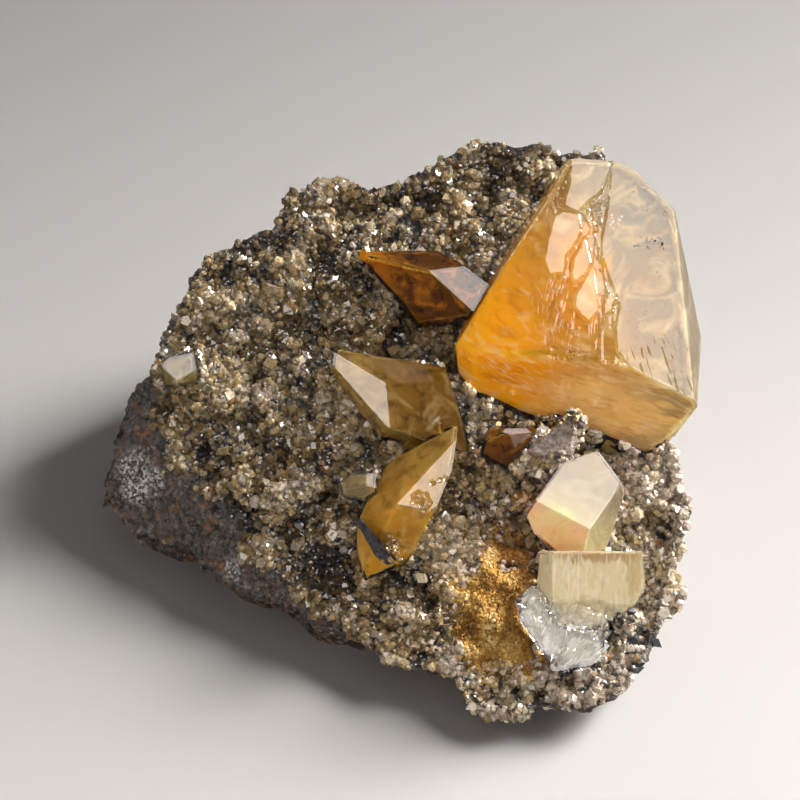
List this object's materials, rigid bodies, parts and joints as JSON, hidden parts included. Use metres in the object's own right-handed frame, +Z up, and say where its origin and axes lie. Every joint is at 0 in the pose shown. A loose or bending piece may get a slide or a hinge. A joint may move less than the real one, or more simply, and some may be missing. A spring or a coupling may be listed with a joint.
{
  "type": "calcite mineral specimen",
  "caption": "Golden calcite crystals of several sizes on a block of dark host rock coated with small glassy crystals, resting on its broken underside.",
  "frame": {"origin": "bottom centre of the specimen's box, at the level that the rock stands on", "axes": "+Z up; +X along the specimen's longest side, towards the large golden crystal; +Y away from the viewer, up the slope of the druse face"},
  "size_m": [0.149, 0.1428, 0.0792],
  "materials": {
    "host_rock": "rough broken rock with a glittering druse",
    "druse": "small glassy crystals",
    "golden_calcite": "glassy, see-through, with etched growth steps",
    "amber_calcite": "glassy, see-through, dark",
    "honey_calcite": "glassy, see-through",
    "cream_calcite": "glassy, milky inside",
    "clear_calcite": "clear, cleaved",
    "dark_rock": "rough, dull"
  },
  "bodies": {
    "root": {"matrix": "host_rock", "calcite_great": "golden_calcite", "calcite_amber": "amber_calcite", "calcite_honey": "honey_calcite", "calcite_double": "honey_calcite", "calcite_foot": "amber_calcite", "calcite_cream": "cream_calcite", "calcite_cleaved": "clear_calcite", "calcite_edge": "honey_calcite", "calcite_pale": "cream_calcite", "rock_flake": "dark_rock"}
  },
  "joints": []
}
